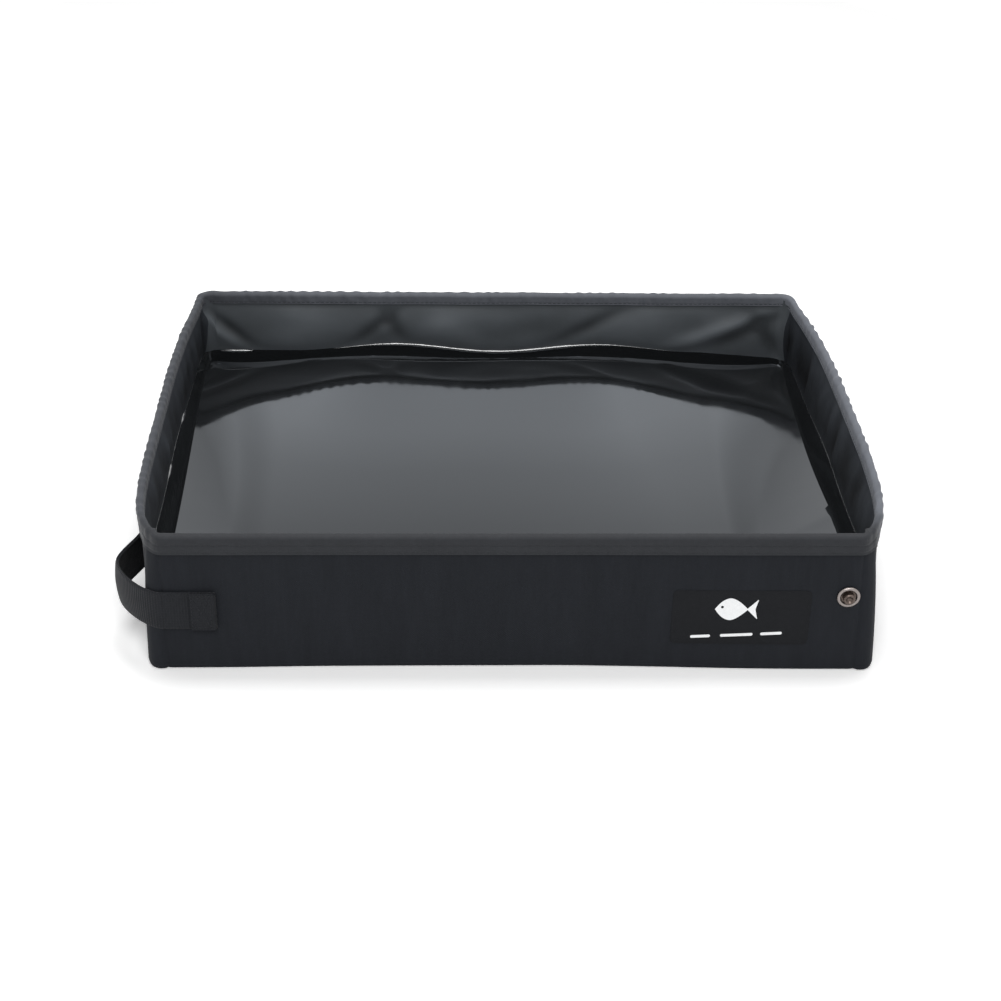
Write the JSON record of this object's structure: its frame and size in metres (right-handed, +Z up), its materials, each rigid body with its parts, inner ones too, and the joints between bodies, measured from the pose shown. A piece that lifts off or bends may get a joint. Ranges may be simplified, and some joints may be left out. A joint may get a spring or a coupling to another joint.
{
  "type": "foldable litter box",
  "caption": "Low open tray of dark cloth with stiff front and back walls, soft bowed sides, a hanging film tub, a webbing handle and a press stud; it folds flat along a cloth spine.",
  "frame": {"origin": "on the ground under the middle of the base, where the cloth spine's middle lies", "axes": "+X across the front towards the press stud, +Y from the front wall to the back wall, +Z up"},
  "size_m": [0.4339, 0.3076, 0.086],
  "materials": {
    "outer_cloth": "matt woven",
    "binding": "woven tape",
    "lining": "coated, satin",
    "film": "glossy film",
    "board": "stiff sheet",
    "webbing": "ribbed webbing",
    "stud_metal": "polished",
    "patch": "transfer film"
  },
  "bodies": {
    "base_back": {"bottom_cloth_back": "outer_cloth", "base_board_back": "board", "film_tub_back": "film", "corner_cloth_back_left": "outer_cloth", "corner_binding_back_left": "binding", "corner_cloth_back_right": "outer_cloth", "corner_binding_back_right": "binding"},
    "spine": {"spine_cloth": "outer_cloth"},
    "base_front": {"bottom_cloth_front": "outer_cloth", "base_board_front": "board", "film_tub_front": "film", "handle_loop": "webbing", "corner_cloth_front_left": "outer_cloth", "corner_binding_front_left": "binding", "corner_cloth_front_right": "outer_cloth", "corner_binding_front_right": "binding"},
    "front_wall": {"front_cloth": "outer_cloth", "front_board": "board", "front_lining": "lining", "front_binding": "binding", "label_patch": "patch", "press_stud": "stud_metal", "press_stud_washer": "stud_metal", "handle_tab_front": "webbing"},
    "back_wall": {"back_cloth": "outer_cloth", "back_board": "board", "back_lining": "lining", "back_binding": "binding", "press_socket": "stud_metal", "press_socket_washer": "stud_metal"},
    "left_wall_front": {"left_cloth_front": "outer_cloth", "left_lining_front": "lining", "left_binding_front": "binding", "handle_tab_left": "webbing"},
    "right_wall_front": {"right_cloth_front": "outer_cloth", "right_lining_front": "lining", "right_binding_front": "binding"},
    "left_wall_back": {"left_cloth_back": "outer_cloth", "left_lining_back": "lining", "left_binding_back": "binding"},
    "right_wall_back": {"right_cloth_back": "outer_cloth", "right_lining_back": "lining", "right_binding_back": "binding"}
  },
  "joints": [
    {"name": "spine_fold", "type": "hinge", "parent": "base_back", "child": "spine", "pos_m": [0, 0.0175, 0.0008], "axis": [-1, 0, 0], "range_deg": [0, 90], "deforming": ["film_tub_back", "corner_cloth_back_left", "corner_cloth_back_right", "corner_binding_back_left", "corner_binding_back_right"]},
    {"name": "front_base_fold", "type": "hinge", "parent": "spine", "child": "base_front", "pos_m": [0, -0.0175, 0.0008], "axis": [-1, 0, 0], "range_deg": [0, 90], "deforming": ["film_tub_front", "corner_cloth_front_left", "corner_cloth_front_right", "corner_binding_front_left", "corner_binding_front_right", "handle_loop"]},
    {"name": "front_wall_fold", "type": "hinge", "parent": "base_front", "child": "front_wall", "pos_m": [0, -0.1463, 0.0075], "axis": [-1, 0, 0], "range_deg": [0, 90]},
    {"name": "back_wall_fold", "type": "hinge", "parent": "base_back", "child": "back_wall", "pos_m": [0, 0.1463, 0.0075], "axis": [1, 0, 0], "range_deg": [0, 90]},
    {"name": "left_wall_front_fold", "type": "hinge", "parent": "base_front", "child": "left_wall_front", "pos_m": [-0.1982, 0, 0.0048], "axis": [0, 1, 0], "range_deg": [0, 90], "deforming": ["left_cloth_front", "left_lining_front", "left_binding_front"]},
    {"name": "left_wall_back_fold", "type": "hinge", "parent": "base_back", "child": "left_wall_back", "pos_m": [-0.1982, 0, 0.0048], "axis": [0, 1, 0], "range_deg": [0, 90], "deforming": ["left_cloth_back", "left_lining_back", "left_binding_back"]},
    {"name": "right_wall_front_fold", "type": "hinge", "parent": "base_front", "child": "right_wall_front", "pos_m": [0.1982, 0, 0.0048], "axis": [0, -1, 0], "range_deg": [0, 90], "deforming": ["right_cloth_front", "right_lining_front", "right_binding_front"]},
    {"name": "right_wall_back_fold", "type": "hinge", "parent": "base_back", "child": "right_wall_back", "pos_m": [0.1982, 0, 0.0048], "axis": [0, -1, 0], "range_deg": [0, 90], "deforming": ["right_cloth_back", "right_lining_back", "right_binding_back"]}
  ],
  "couplings": [
    {"joint": "front_base_fold", "follows": "spine_fold", "ratio": 1},
    {"joint": "front_wall_fold", "follows": "spine_fold", "ratio": 1},
    {"joint": "back_wall_fold", "follows": "spine_fold", "ratio": 1},
    {"joint": "left_wall_front_fold", "follows": "spine_fold", "ratio": 1},
    {"joint": "left_wall_back_fold", "follows": "spine_fold", "ratio": 1},
    {"joint": "right_wall_front_fold", "follows": "spine_fold", "ratio": 1},
    {"joint": "right_wall_back_fold", "follows": "spine_fold", "ratio": 1}
  ]
}
